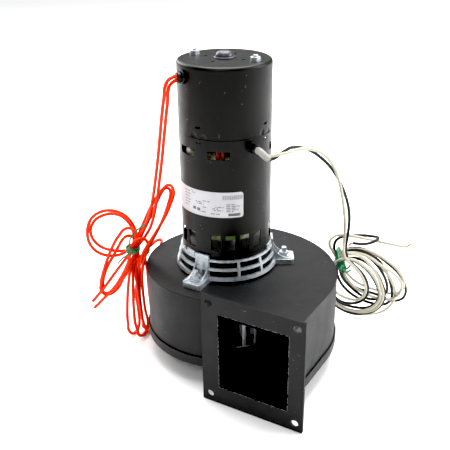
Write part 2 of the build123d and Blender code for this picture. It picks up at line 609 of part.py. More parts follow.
def red_hank():
    """Closed outer shapes of the tied red loops."""
    neck = Rot(0, 0, HANG_TURN) * Pos(*NECK, 81.5) * Cylinder(7.3, 13)
    lower = hung([(-97, 77), (-86, 77), (-82, 50), (-81.5, 20), (-81.5, -4), (-85, -14), (-92, -16.5),
                  (-100, -9), (-103, 15), (-101, 45)], 3, 13)
    parts["red_hank"] = lower + neck
    upper = hung([(-87, 88), (-74, 110), (-60.5, 134), (-54, 145.5), (-48.5, 142), (-55, 118), (-70, 92),
                  (-79, 86)], 11, 17)
    parts["red_upper_loop"] = upper - neck
    frame = Rot(0, 0, HANG_TURN) * Pos(-111.5, 8, 98.5) * Rot(90, 0, 0)
    ring = frame * (Cylinder(25.0, 8) - Cylinder(19.0, 10))
    cut = Rot(0, 0, HANG_TURN) * block((-96, -60), (-20, 40), (60, 140))
    narrow = hung([(-100, 92), (-106, 98), (-113, 88), (-119, 62), (-124, 34), (-120, 30), (-113, 54),
                   (-106, 78)], 14, 18)
    behind = sector(81.5, 86.0, -4, 72, 189, 24) - lower - neck
    behind = behind.solids().sort_by(SortBy.VOLUME)[-1]
    parts["red_side_loops"] = solids_of([ring - cut - neck, narrow, behind])
    band = Rot(0, 0, HANG_TURN) * Pos(*NECK, 81.0) * (Cylinder(8.1, 5) - Cylinder(7.3, 6))
    for name in ("red_side_loops", "red_upper_loop", "red_lead_1", "red_lead_2", "red_tail_1", "red_tail_2"):
        band -= parts[name]
    parts["red_hank_tie"] = band.solids().sort_by(SortBy.VOLUME)[-1]


COIL_FOOT = (39.0, -19.6)       # where the leaning coil's plane meets the floor, depth and height
COIL_LEAN = 16.2                # degrees back from upright


def power_coil():
    """The tied coil of both power leads, leaning on the housing's side."""
    outline = [(108, 92), (128, 97), (154, 88), (177, 68), (186, 46), (182, 22), (166, 7), (143, 1.8),
               (121, 8), (107, 28), (104, 62)]
    outside = make_face(Spline(*outline, periodic=True))
    middle = Vector(143, 49)
    hole = [middle + (Vector(x, y) - middle) * 0.56 for x, y in outline]
    inside = make_face(Spline(*hole, periodic=True))
    frame = Rot(0, 0, HANG_TURN) * Pos(0, *COIL_FOOT) * Rot(90 + COIL_LEAN, 0, 0)
    parts["power_coil"] = frame * Pos(0, 0, -7.0) * extrude(outside - inside, 14)
    wrap = Pos(117.5, 83, 0) * Rot(0, 0, -45) * (Box(7, 27, 15.8) - Box(8, 25.4, 14.2))
    wrap = frame * wrap - parts["power_coil"]
    for name in ("black_lead", "white_lead", "black_tail", "white_tail"):
        wrap -= parts[name]
    parts["power_coil_tie"] = wrap.solids().sort_by(SortBy.VOLUME)[-1]


def inner_switch_leads():
    """Red switch leads that drop from the switch past an upper vent, against the can's wall."""
    drops = []
    for angle in (-69.5, -63.0):
        drops.append(Pos(*polar(38.2, angle)) * disc(RED_DIAMETER / 2, 179.0, MOTOR_SEAM - 3.5))
    parts["inner_switch_leads"] = solids_of(drops)


if __name__ == "__main__":
    housing()
    inlet_ring()
    outlet_flange()
    wheel()
    motor_mount()
    motor_shells()
    motor_insides()
    proving_switch()
    bushings()
    power_sleeve()
    leads()
    red_hank()
    power_coil()
    inner_switch_leads()
    os.makedirs("parts", exist_ok=True)
    for name, shape in parts.items():
        export_step(shape, f"parts/{name}.step")
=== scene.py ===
"""Combustion fan: materials, leads, ties, spring, label print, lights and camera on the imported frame.

The frame's own axes: +Z up, the outlet faces -Y. Shapes are sized in millimetres and made in metres.
"""
import json
from math import cos, pi, radians, sin

import bmesh
import bpy
from mathutils import Matrix, Vector


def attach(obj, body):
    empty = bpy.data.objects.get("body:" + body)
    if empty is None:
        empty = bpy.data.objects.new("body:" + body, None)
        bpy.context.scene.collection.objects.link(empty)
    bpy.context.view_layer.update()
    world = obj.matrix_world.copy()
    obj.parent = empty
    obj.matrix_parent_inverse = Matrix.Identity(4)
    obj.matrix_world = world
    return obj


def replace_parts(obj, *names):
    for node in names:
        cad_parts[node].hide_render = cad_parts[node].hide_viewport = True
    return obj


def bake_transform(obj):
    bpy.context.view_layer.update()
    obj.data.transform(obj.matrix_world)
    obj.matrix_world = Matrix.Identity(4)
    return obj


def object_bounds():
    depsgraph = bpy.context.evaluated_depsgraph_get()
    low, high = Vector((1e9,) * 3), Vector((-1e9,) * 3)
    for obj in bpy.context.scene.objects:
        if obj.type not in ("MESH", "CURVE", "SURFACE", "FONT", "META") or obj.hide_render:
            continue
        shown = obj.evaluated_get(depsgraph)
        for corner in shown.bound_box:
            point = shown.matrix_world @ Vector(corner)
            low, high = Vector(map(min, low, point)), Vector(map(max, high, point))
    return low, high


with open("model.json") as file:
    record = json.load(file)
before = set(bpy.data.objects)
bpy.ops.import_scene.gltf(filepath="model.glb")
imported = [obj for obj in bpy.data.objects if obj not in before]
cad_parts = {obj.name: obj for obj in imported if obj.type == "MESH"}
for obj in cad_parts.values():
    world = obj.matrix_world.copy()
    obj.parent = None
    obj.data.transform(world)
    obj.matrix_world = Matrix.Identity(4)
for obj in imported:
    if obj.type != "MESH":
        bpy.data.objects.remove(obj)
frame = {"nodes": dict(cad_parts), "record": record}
CAD_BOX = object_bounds()
MM = 0.001
FLOOR = CAD_BOX[0].z

# ---------------------------------------------------------------- sizes in millimetres
RED_DIAMETER = 3.2
POWER_DIAMETER = 3.0
MOTOR_RADIUS = 42.0
LABEL_THICKNESS = 0.25
PRINT_THICKNESS = 0.03
STRAND_RADIUS = 0.26            # fine copper wire in the power leads
SPRING_WIRE = 0.45              # radius of the collar spring's wire
SPRING_RADIUS = 5.6
SPRING_PITCH = 1.9
SPRING_ENDS = (239.0, 247.5)    # heights of the collar and of the shoulder above the spring

# ---------------------------------------------------------------- places in metres, angles in radians
OPENING = (0.046, 0.1138, -0.002, 0.0735)   # lip of the outlet: low and high x, then low and high z
WINDING_GREEN_TOP = 0.150       # green insulation shows only below this height
HANG_TURN = radians(30.6)       # upright plane that the loose loops hang in, turned about Z

BLACK_LEVEL = 0.015             # deepest tone of the finished picture
BLACK_COAT = (0.004, 0.004, 0.0043)
COAT_CLOUD = ((0.0030, 0.0030, 0.0032), (0.0050, 0.0050, 0.0053))
COAT_DUST = (0.14, 0.14, 0.135)
ENAMEL_DUST = (0.14, 0.14, 0.12)
# painted shade: the near-black colour put inside the outlet's lip to stand for the shade there
SHADE = (0.0002, 0.0002, 0.0002)
WORN_EDGE = (0.20, 0.20, 0.19)

# ---------------------------------------------------------------- lead routes in millimetres
RED_ROUTE_1 = [
    (-21.9, -42, 258.8), (-24.9, -49.6, 257.9), (-27.2, -52.6, 250.6), (-28, -52.4, 243),
    (-31.6, -51.4, 229.5), (-37, -48.5, 208), (-43, -44.3, 187.5), (-49.6, -40.8, 165),
    (-56.4, -37.6, 141.5), (-64.2, -35.5, 117.5), (-72.9, -36.8, 99.1), (-82.5, -41.8, 83.6),
    (-88.7, -46, 77.8), (-97.2, -49.8, 73.8), (-105.7, -55.7, 74.8), (-111.7, -61.4, 79.8),
    (-116.6, -64.4, 87.6), (-118.1, -65.3, 98.1), (-116.7, -64.4, 108.9), (-112.8, -61, 117.5),
    (-106, -55.7, 122.3), (-98.3, -49.8, 123), (-90.9, -44, 119.4), (-85.6, -39.2, 112),
    (-82.7, -35.3, 101.7), (-82.2, -33.6, 91.3), (-83.9, -33.2, 81.2), (-83.2, -39.3, 73.2),
    (-83, -45.7, 64.6), (-84.8, -47.5, 51.7), (-86.1, -49.6, 36.4), (-86.8, -51.2, 20.4),
    (-87.4, -52.1, 5.4), (-87.8, -50.6, -1.5), (-89.4, -49.9, -8.2), (-87.5, -48.1, -13.7),
    (-88.2, -43.3, -17.6), (-88.6, -39.3, -17.8), (-88.6, -35.3, -17.8), (-90.1, -30.5, -14.9),
    (-90.7, -28.4, -9.7), (-89.8, -30.2, -1.5), (-89.6, -30.7, 7), (-88, -35.2, 26.7),
    (-84.8, -34.5, 45.1), (-80, -35.6, 61.4), (-73.9, -38.7, 75.2), (-68.1, -37.7, 86),
    (-61.9, -33.9, 96.9), (-55.8, -29.6, 108.7), (-50.4, -25.2, 121), (-48.5, -23.5, 127.1),
    (-46.6, -21.9, 133.2), (-45.2, -21.4, 137.2), (-45.4, -19.5, 141.1), (-49.4, -16.7, 145.2),
    (-52.9, -15.7, 145.8), (-56.4, -15.4, 144.7), (-59.6, -15.7, 141.6), (-62.5, -16, 138.3),
    (-66.6, -19.5, 131.2), (-71.3, -23.3, 122), (-75.9, -26.9, 109.5), (-81.2, -29.1, 97.4),
    (-85.2, -30.4, 86.3), (-86, -32.1, 75.5), (-84.1, -35.1, 64), (-82.3, -39.9, 51.7),
    (-82.5, -38, 35.8), (-80.8, -38.8, 17.8), (-79.6, -38.7, 9), (-78.5, -38.6, 0.1),
    (-78.2, -37.9, -3.2), (-77.8, -37.4, -6.6), (-76.4, -37.8, -9.7), (-75.7, -36.7, -13.1),
    (-75.8, -34, -15.8), (-76.7, -30.6, -17), (-78.4, -25.9, -15.8), (-79.7, -21.7, -13.3),
    (-82.1, -18.2, -7.9), (-82.1, -16.7, -1), (-83.1, -12.4, 17.3), (-86.7, -4.3, 33.9),
    (-85.8, -0, 48.8), (-85.1, 6.3, 60.7), (-82.6, 7.6, 69.8), (-78, -0.8, 75.9),
    (-76.5, -10.3, 78.9), (-76.4, -15.1, 78.2), (-77.1, -19.8, 77), (-79.4, -22.7, 74.7),
    (-79.5, -26.1, 72), (-78.5, -29.5, 71.2), (-78.5, -33.2, 71.5), (-79.7, -36.3, 70.7),
    (-81.9, -38.5, 69.3), (-83.8, -41, 65), (-86, -43.5, 60.9), (-89.7, -42.7, 55.4),
    (-92.9, -43.2, 49.6), (-97.2, -43, 43.4), (-100.5, -43.2, 36.7), (-102.8, -46, 32.2),
    (-106.6, -48.8, 28.6), (-108.7, -52.4, 27.9), (-109.9, -56.4, 29.4), (-110.2, -59.7, 33.6),
    (-111.6, -61.1, 38.5), (-109.6, -61.6, 44.1), (-108.2, -62.4, 49.7), (-105.5, -60.5, 60),
    (-102.1, -58.5, 71.3), (-97.9, -55.8, 82.9), (-93.9, -52.3, 92.9), (-91.7, -50.1, 96.6),
    (-89.5, -48.6, 100.6), (-87.8, -46.7, 103.3), (-84.9, -44.6, 104.8), (-81.8, -42.7, 104.5),
    (-79.1, -41.5, 102.5), (-76.9, -41.1, 98.4), (-76, -41.8, 93.9), (-77.3, -43, 88.9),
    (-79.1, -43.6, 83.9), (-85.1, -45.1, 75.9), (-96.7, -52.7, 57.8), (-105.8, -62.5, 40.5),
    (-119.2, -65.2, 24),
]
RED_ROUTE_2 = [
    (-21.9, -42, 255.2), (-24.6, -48, 253.6), (-25.8, -50, 246.3), (-26.6, -49.4, 238.5),
    (-30, -48.2, 225), (-35.4, -45, 205), (-41.4, -41, 184), (-48.2, -37, 161.5), (-55, -33.6, 138),
    (-62.6, -31.2, 114.5), (-71.2, -28.6, 97.6), (-80.6, -35.4, 81.9), (-86, -41, 79.3),
    (-94.1, -44.8, 77.8), (-101.1, -51.1, 79.5), (-108.3, -56.1, 82.8), (-114, -59.4, 88.6),
    (-117.2, -61.2, 96.5), (-116.6, -60.8, 105.3), (-113.1, -57.6, 112.6), (-107.5, -53.2, 116.7),
    (-100.5, -47.7, 118.2), (-93.4, -42.2, 115.4), (-88.9, -38.3, 109.4), (-86.3, -35.4, 101.7),
    (-85.8, -33.8, 92.4), (-87.3, -33.8, 82.4), (-86, -36.3, 72.5), (-85.3, -38.8, 61.6),
    (-83.1, -43.7, 50.3), (-81.2, -47.4, 36), (-79.9, -49.9, 18.9), (-78.4, -51.3, 2.8),
    (-79.4, -48, -4.1), (-78.1, -48.1, -11.7), (-78.3, -44.4, -16.4), (-77.6, -38.5, -17.8),
    (-79.2, -34.9, -17.8), (-80, -30.9, -17.8), (-81.9, -26.2, -14.5), (-82.6, -24.5, -8.8),
    (-82.6, -27.5, 1.7), (-83.5, -27.9, 12.6), (-82.7, -30, 31.9), (-79.3, -33.6, 50.5),
    (-75.1, -35.3, 66.5), (-70.3, -35.9, 78.8), (-65.1, -32.9, 90.5), (-59.7, -28, 102.5),
    (-54.5, -24.3, 116.6), (-52.9, -22.7, 123), (-51.2, -21.2, 129.4), (-50.5, -19.8, 133.6),
    (-50.8, -17.4, 137.5), (-52.5, -15.7, 139.8), (-55.1, -13.9, 140.9), (-58.5, -12.7, 140.7),
    (-61.6, -12.3, 139.1), (-64.6, -13, 135), (-65.8, -15.5, 130.9), (-67.7, -17.1, 125.7),
    (-69.6, -18.7, 120.6), (-74.4, -22.5, 108), (-80.1, -25.7, 94.8), (-84.6, -27.6, 83.8),
    (-86, -29.2, 73), (-84.3, -30.2, 60.4), (-85.1, -30.3, 44.6), (-83.5, -34.7, 29),
    (-81.6, -36, 12.1), (-81.1, -35.8, 3.3), (-80.4, -35.8, -5.6), (-83.4, -32.8, -12.5),
    (-84.4, -30.1, -15.5), (-84.2, -26.7, -17.6), (-82.9, -21.7, -17.8), (-83.5, -17, -15.8),
    (-84.4, -15, -12.9), (-84.8, -14.3, -9.4), (-85.5, -14.1, -2.4), (-85.4, -15.9, 15.6),
    (-82.9, -19.9, 36), (-78.7, -25.4, 53.2), (-76, -32.3, 71.1), (-70.9, -31.5, 77.2),
    (-70.1, -32, 85.2), (-70.1, -34.3, 90.6), (-70.8, -38.8, 94.6), (-72.8, -42.6, 95.2),
    (-75.4, -45.7, 93.6), (-78.8, -47.3, 88.4), (-79.5, -48.6, 82.3), (-82.2, -47.5, 75.7),
    (-84.8, -46.4, 69.1), (-88.4, -45.2, 62.9), (-91.8, -45.1, 56.4), (-95.7, -45.4, 49.7),
    (-99.8, -45.5, 43.1), (-103.8, -45, 37.3), (-105.4, -43.9, 34.4), (-107.2, -44.3, 31.3),
    (-109.7, -46.9, 28.7), (-111.8, -51, 28.2), (-112.6, -54.1, 29.7), (-112.6, -56.2, 32.4),
    (-111.9, -57.1, 35.6), (-111.2, -57.7, 38.7), (-109.3, -58.4, 45.8), (-107.4, -58.6, 53.1),
    (-103.1, -56.5, 64.5), (-97.6, -54.4, 74.7), (-95.3, -52.1, 80), (-93.2, -49.6, 85.2),
    (-90.8, -48.8, 90.1), (-88.3, -46.5, 94.5), (-86.2, -43.4, 95.8), (-84.1, -39.9, 94.9),
    (-82.1, -37, 91.1), (-80.7, -37.1, 86.3), (-79.8, -40.3, 82.1), (-79.1, -42.9, 77.6),
    (-80.1, -48.8, 70.9), (-86.5, -54.7, 55.7), (-98.7, -61, 37.8), (-115.1, -68, 19),
]
BLACK_ROUTE = [
    (55.4, -22.2, 191.2), (58, -15.6, 190.4), (60.5, -5.4, 194.3), (65.1, 6.6, 197.1),
    (74, 26.4, 188.8), (85.2, 45.2, 169.6), (93.1, 59.7, 144.4), (97.4, 69.3, 118.1),
    (96.2, 72.6, 94), (96.4, 63.7, 74.6), (101.9, 72.3, 61), (108.8, 79.7, 50.9),
    (113.2, 85.8, 39.7), (115.1, 89.8, 27.7), (113.4, 92.5, 16.1), (106.9, 93.2, 7.1),
    (97.6, 89.1, 4.2), (89.7, 82.2, 7.7), (85.4, 74.7, 15.8), (82.2, 71.2, 27.2),
    (82.5, 69.6, 39.7), (84.6, 68.3, 51.3), (88.6, 66.4, 60.8), (95.5, 69.2, 65.7),
    (101.2, 76.6, 62.7), (108.9, 82.5, 55.7), (115, 89.4, 45.9), (120.5, 94.6, 34),
    (123.1, 100.1, 21.8), (122.8, 104.5, 10.3), (118.1, 105.8, 0.6), (109.8, 104, -5.4),
    (101.3, 97.1, -3.5), (92.3, 89.7, 0.5), (84.3, 82, 8.1), (81, 76.6, 20.7), (80.4, 74.4, 34.6),
    (82.4, 73.5, 47.3), (86.9, 71, 57.2), (93, 71.8, 64.1), (99, 78.1, 64.4), (106.6, 84.2, 61.6),
    (114.2, 90.3, 54.5), (120.3, 96.4, 44.3), (124.5, 101.8, 32), (127.7, 106, 19.1),
    (126.9, 108.5, 5.8), (121.1, 109.6, -6.2), (110.6, 109.4, -14.5), (98.9, 102.4, -15.5),
    (88.7, 94.4, -10), (80.7, 86.1, -0.7), (77.2, 81.6, 14), (77, 78.9, 29.9), (79.8, 77.3, 44.8),
    (85.1, 74, 56.8), (91, 72.9, 66.5), (99.1, 76.1, 70.3), (106.1, 83.7, 68.7),
    (114.7, 89.3, 62.4), (121.8, 95.3, 52.2), (127.5, 100.7, 39.6), (130.5, 105.3, 26.2),
    (127.8, 111.6, 14.8), (121.8, 113.3, 6.2), (114.3, 107.2, 4.5), (107.1, 99.4, 10),
    (98.7, 93.4, 18.7), (91.8, 86.6, 29.3), (88.1, 79.4, 41.1), (87.7, 75.5, 53.7), (89, 77.1, 66),
    (96.6, 74.5, 73.9), (105.8, 80.4, 73.5), (114.1, 88.5, 67), (120.6, 99, 57.4),
    (126.8, 106.1, 44), (130.9, 110.8, 29.4), (133, 115, 15.4), (131.8, 118.1, 3),
    (124, 117.7, -4.7), (114.9, 111.1, -2), (105.3, 103.7, 3.1), (95.2, 96.9, 10.9),
    (87.7, 90.1, 21.6), (82.9, 85.2, 33.8), (81.5, 82.9, 46), (84.3, 81.5, 56.4),
    (86.5, 83.5, 65.9), (93.5, 81.1, 71.6), (101.7, 85.3, 72.7), (109.4, 91.9, 69.5),
    (117.8, 97.7, 63.6), (125.8, 103.4, 55.3), (133.9, 109.8, 46.1), (140.6, 116, 35.6),
    (144.1, 121.3, 24.2), (144.9, 124.9, 13), (141.4, 127.1, 3.1), (132.7, 124.7, -1),
    (125, 118.6, 3.6), (116.8, 112.4, 9.8), (108.1, 104.3, 14.8), (98.5, 96.3, 20.5),
    (90.8, 89, 30.6), (79.5, 91.8, 42.7), (81, 80.3, 59.7), (83.2, 68, 77.4), (83.8, 72, 83.4),
    (89.4, 78.6, 85.8), (98.5, 86.8, 85.2), (106.6, 92.8, 84.4), (114, 95.6, 83.8), (120, 93, 85.4),
    (122.2, 85.6, 86.6), (118.2, 78.2, 84.8), (110.6, 72.6, 84), (102.6, 69, 85),
]
WHITE_ROUTE = [
    (55.7, -21.5, 194.3), (60.2, -17.2, 195), (66.1, -9.1, 195), (73.8, 5.4, 196.9),
    (82.9, 23.5, 190.8), (90.5, 37.9, 175.3), (93.6, 49.6, 152), (94.9, 58.5, 127.8),
    (95.1, 65.6, 103.1), (93.9, 68.4, 86.6), (98.2, 56.1, 75.1), (103.1, 65.4, 64.1),
    (107.7, 74.7, 53.8), (111.9, 80.8, 41.9), (114.3, 85.6, 29.9), (112.2, 88.9, 18.6),
    (104.9, 89.3, 10.3), (96, 84, 12.3), (89.8, 77.3, 18.4), (86.2, 69.3, 26.2), (83.1, 65.5, 37.5),
    (83.7, 64.5, 50.3), (87.6, 63.3, 61.8), (95.8, 61.6, 70), (104.5, 67.7, 68.4),
    (108.4, 77.3, 61), (115.3, 84.5, 52.1), (120.8, 90.2, 41.1), (124.5, 94.7, 29.1),
    (125.5, 99.7, 17.4), (122.6, 102.4, 5.2), (114.5, 102.7, -4.8), (103.4, 96.8, -7.4),
    (93, 88.8, -3.7), (84.8, 80, 5.2), (80.3, 73.6, 19.2), (78.7, 71.8, 35.1), (81.1, 70.5, 49.5),
    (86, 68.9, 60.5), (92, 68.7, 68.1), (98.8, 69.5, 72.3), (105.7, 74.6, 70.9),
    (111.9, 81.5, 64.3), (117.4, 88.3, 54), (122.6, 93.8, 41.8), (126.4, 98, 28.8),
    (127.7, 103.2, 16.6), (124.9, 106.2, 4.1), (117.9, 106.9, -7), (106, 104.6, -12.4),
    (95.8, 95.8, -8), (85.7, 87, -0.5), (79.4, 79.6, 12.6), (77.2, 75.7, 28.8), (78.6, 74.4, 45),
    (83.5, 71.9, 58.6), (89.9, 71, 69), (99.4, 73.2, 72.1), (107.3, 80.2, 69.9),
    (116.3, 86.1, 64.9), (123.6, 92.3, 56.2), (130.6, 100.1, 48.6), (137.7, 106.7, 40.6),
    (142.9, 111.7, 31.3), (142.5, 116.1, 21.1), (138.7, 115.1, 11.3), (129.6, 113.1, 5.7),
    (119.3, 107.8, 7.9), (110.1, 101, 13.3), (101.4, 93.9, 20.4), (94.5, 87.9, 30.3),
    (90.9, 82, 41.5), (89, 78.4, 52.5), (90.2, 79.5, 62.5), (96.2, 79.9, 68.4), (103.4, 84.9, 67.7),
    (111.2, 90.9, 63.8), (119.1, 96.5, 55.5), (127.2, 102.4, 44.9), (133.3, 108.6, 32),
    (136.1, 115.1, 18.1), (134.9, 119.6, 4.3), (129.1, 120.9, -7.8), (119.7, 119.7, -16.6),
    (108.8, 112.5, -17.7), (97.2, 104.9, -14.9), (87.4, 96.1, -6.9), (80.9, 87.6, 5.5),
    (76.9, 83.1, 21.5), (77.5, 81.4, 38.5), (81.8, 78.8, 53.1), (85.9, 80, 65.5), (94.6, 78.3, 72),
    (104, 83.1, 72.4), (112.9, 90.9, 69.2), (122.6, 97.4, 63.1), (131.5, 103.9, 54.7),
    (139.5, 109.4, 44.9), (143.8, 114.4, 33.8), (143.8, 118, 22.9), (139.6, 121.5, 14.4),
    (131.6, 120.8, 10.1), (124.6, 114.4, 13.4), (116.2, 108, 17.4), (107.8, 100.9, 22.4),
    (99.5, 94, 28.9), (93.1, 87.9, 38.3), (87.5, 82.6, 50.3), (84.1, 73.2, 64.5), (80.5, 63, 79.2),
    (80.2, 64.7, 85.8), (84.8, 69.6, 89.8), (92.5, 75, 89.2), (106, 83.5, 85.6),
    (124.1, 93.2, 80.7), (145.6, 102.5, 76.7),
]


# ---------------------------------------------------------------- node helpers
class Paint:
    """A Principled material and short ways to feed its sockets."""

    def __init__(self, name, colour, roughness, metallic=0.0, specular=0.5):
        self.material = bpy.data.materials.new(name)
        self.material.use_nodes = True
        self.nodes = self.material.node_tree.nodes
        self.links = self.material.node_tree.links
        self.shader = self.nodes["Principled BSDF"]
        self.shader.inputs["Base Color"].default_value = (*colour, 1.0)
        self.shader.inputs["Roughness"].default_value = roughness
        self.shader.inputs["Metallic"].default_value = metallic
        self.shader.inputs["Specular IOR Level"].default_value = specular
        self.place = self.nodes.new("ShaderNodeTexCoord").outputs["Object"]

    def link(self, source, node, socket):
        self.links.new(source, node.inputs[socket])

    def noise(self, scale, detail=3.0, roughness=0.55, stretch=(1, 1, 1)):
        """Noise from 0 to 1 with this many waves to the metre."""
        mapping = self.nodes.new("ShaderNodeMapping")
        mapping.inputs["Scale"].default_value = stretch
        self.link(self.place, mapping, "Vector")
        node = self.nodes.new("ShaderNodeTexNoise")
        node.inputs["Scale"].default_value = scale
        node.inputs["Detail"].default_value = detail
        node.inputs["Roughness"].default_value = roughness
        self.link(mapping.outputs["Vector"], node, "Vector")
        return node.outputs["Fac"]

    def cells(self, scale):
        """Distance from the nearest point of a scattered set."""
        node = self.nodes.new("ShaderNodeTexVoronoi")
        node.inputs["Scale"].default_value = scale
        self.link(self.place, node, "Vector")
        return node.outputs["Distance"]

    def ramp(self, source, *stops):
        """A colour ramp from (position, colour) stops."""
        node = self.nodes.new("ShaderNodeValToRGB")
        while len(node.color_ramp.elements) < len(stops):
            node.color_ramp.elements.new(0.5)
        for element, (position, colour) in zip(node.color_ramp.elements, stops):
            element.position = position
            element.color = (*colour, 1.0)
        self.link(source, node, "Fac")
        return node.outputs["Color"]

    def grey(self, source, low, high, at_low=0.0, at_high=1.0):
        """Maps a value onto greys."""
        return self.ramp(source, (low, (at_low,) * 3), (high, (at_high,) * 3))

    def mix(self, factor, first, second):
        """Colours or sockets mixed by a factor or by a socket."""
        node = self.nodes.new("ShaderNodeMix")
        node.data_type = "RGBA"
        for socket, value in ((0, factor), (6, first), (7, second)):
            if isinstance(value, bpy.types.NodeSocket):
                self.links.new(value, node.inputs[socket])
            elif socket == 0:
                node.inputs[0].default_value = value
            else:
                node.inputs[socket].default_value = (*value, 1.0)
        return node.outputs[2]

    def math(self, operation, first, second):
        """One arithmetic step on numbers or sockets."""
        node = self.nodes.new("ShaderNodeMath")
        node.operation = operation
        for socket, value in enumerate((first, second)):
            if isinstance(value, bpy.types.NodeSocket):
                self.links.new(value, node.inputs[socket])
            else:
                node.inputs[socket].default_value = value
        return node.outputs[0]

    def colour(self, source):
        self.link(source, self.shader, "Base Color")

    def roughness(self, source):
        self.link(source, self.shader, "Roughness")

    def bump(self, height, distance, strength=1.0):
        """Bump whose height of 1 stands this many metres proud."""
        node = self.nodes.new("ShaderNodeBump")
        node.inputs["Strength"].default_value = strength
        node.inputs["Distance"].default_value = distance
        self.link(height, node, "Height")
        before = self.shader.inputs["Normal"]
        if before.is_linked:
            self.link(before.links[0].from_socket, node, "Normal")
        self.link(node.outputs["Normal"], self.shader, "Normal")


def dusted(paint, base, speck, scale):
    """Colour with rare pale specks of dust."""
    speck_radius, rarity, patches = 0.16, 0.73, 0.31
    near = paint.math("LESS_THAN", paint.cells(scale), speck_radius)
    chosen = paint.math("GREATER_THAN", paint.noise(scale * patches, 0.0), rarity)
    return paint.mix(paint.math("MULTIPLY", near, chosen), base, speck)


# ---------------------------------------------------------------- materials
def coat(name):
    """Satin black powder coat: fine pebbled skin and a faint cloudy sheen. Gives the paint and its colour."""
    paint = Paint(name, BLACK_COAT, 0.5, specular=0.22)
    cloudy = paint.mix(paint.grey(paint.noise(18.0, 4.0), 0.3, 0.7), *COAT_CLOUD)
    paint.roughness(paint.grey(paint.noise(55.0, 5.0), 0.25, 0.75, 0.46, 0.58))
    paint.bump(paint.noise(1900.0, 2.0), 0.00003, 0.5)
    return paint, dusted(paint, cloudy, COAT_DUST, 520.0)


def powder_coat():
    paint, colour = coat("housing_paint")
    paint.colour(colour)
    return paint.material


def within(paint, place, margin):
    """1 inside the outlet's lip, drawn in by a margin, and 0 outside it."""
    low_x, high_x, low_z, high_z = OPENING
    tests = (("GREATER_THAN", "X", low_x + margin), ("LESS_THAN", "X", high_x - margin),
             ("GREATER_THAN", "Z", low_z + margin), ("LESS_THAN", "Z", high_z - margin))
    inside = 1.0
    for operation, axis, limit in tests:
        inside = paint.math("MULTIPLY", paint.math(operation, place.outputs[axis], limit), inside)
    return inside


def flange_coat():
    """The housing's coat, worn along the opening's lip, with painted shade: the colour inside the lip is
    darkened to near black to stand for the shade behind it.
    """
    paint, colour = coat("flange_paint")
    place = paint.nodes.new("ShaderNodeSeparateXYZ")
    paint.link(paint.place, place, "Vector")
    # painted shade: 1 inside the lip, where the colour is darkened to stand for shade
    shade = within(paint, place, 0.0)
    lip = paint.math("SUBTRACT", shade, within(paint, place, 0.0005))
    worn = paint.math("MULTIPLY", lip, paint.grey(paint.noise(420.0, 3.0), 0.42, 0.62))
    paint.colour(paint.mix(worn, paint.mix(shade, colour, SHADE), WORN_EDGE))
    # inside the lip the specular is turned off too, so the painted shade stays dark
    lit = paint.math("MULTIPLY", paint.math("SUBTRACT", 1.0, shade), 0.22)
    paint.link(lit, paint.shader, "Specular IOR Level")
    return paint.material


def motor_enamel():
    """Black enamel over drawn sheet: smoother, with orange peel and dust."""
    paint = Paint("motor_paint", (0.002, 0.002, 0.0018), 0.38, specular=0.18)
    cloud = paint.noise(26.0, 4.0)
    base = paint.mix(paint.grey(cloud, 0.3, 0.7), (0.0014, 0.0014, 0.0012), (0.0026, 0.0026, 0.0022))
    paint.colour(dusted(paint, base, ENAMEL_DUST, 460.0))
    paint.roughness(paint.grey(paint.noise(70.0, 5.0), 0.25, 0.75, 0.33, 0.46))
    paint.bump(paint.noise(900.0, 2.0), 0.00003, 0.35)
    return paint.material


def zinc():
    """Bright zinc plate: bluish, mottled, with darker handling marks."""
    paint = Paint("zinc_plate", (0.6, 0.64, 0.66), 0.36, metallic=1.0)
    mottle = paint.noise(260.0, 6.0, 0.7)
    tint = paint.ramp(mottle, (0.30, (0.27, 0.30, 0.33)), (0.48, (0.44, 0.475, 0.505)),
                      (0.66, (0.55, 0.585, 0.61)))
    stain = paint.grey(paint.noise(60.0, 3.0), 0.52, 0.75)
    paint.colour(paint.mix(stain, tint, (0.30, 0.33, 0.32)))
    paint.roughness(paint.grey(mottle, 0.3, 0.7, 0.44, 0.60))
    paint.bump(paint.noise(700.0, 3.0), 0.00006, 0.5)
    return paint.material


def sheet_steel(name, colour, roughness):
    """Bare or galvanised sheet with fine rolling lines."""
    paint = Paint(name, colour, roughness, metallic=1.0)
    lines = paint.noise(500.0, 4.0, 0.6, stretch=(1, 1, 0.08))
    dark = tuple(0.6 * value for value in colour)
    paint.colour(paint.mix(paint.grey(lines, 0.3, 0.7), dark, colour))
    paint.roughness(paint.grey(lines, 0.3, 0.7, roughness - 0.08, roughness + 0.1))
    paint.bump(lines, 0.00002, 0.4)
    return paint.material


def laminations():
    """Edges of stacked electrical sheet, half a millimetre each."""
    paint = Paint("laminated_steel", (0.22, 0.22, 0.23), 0.5, metallic=0.8)
    sheets = paint.noise(1.0, 1.0, stretch=(30, 30, 2000))
    paint.colour(paint.mix(paint.grey(sheets, 0.35, 0.6), (0.05, 0.045, 0.04), (0.30, 0.30, 0.31)))
    paint.bump(sheets, 0.00008, 0.6)
    return paint.material


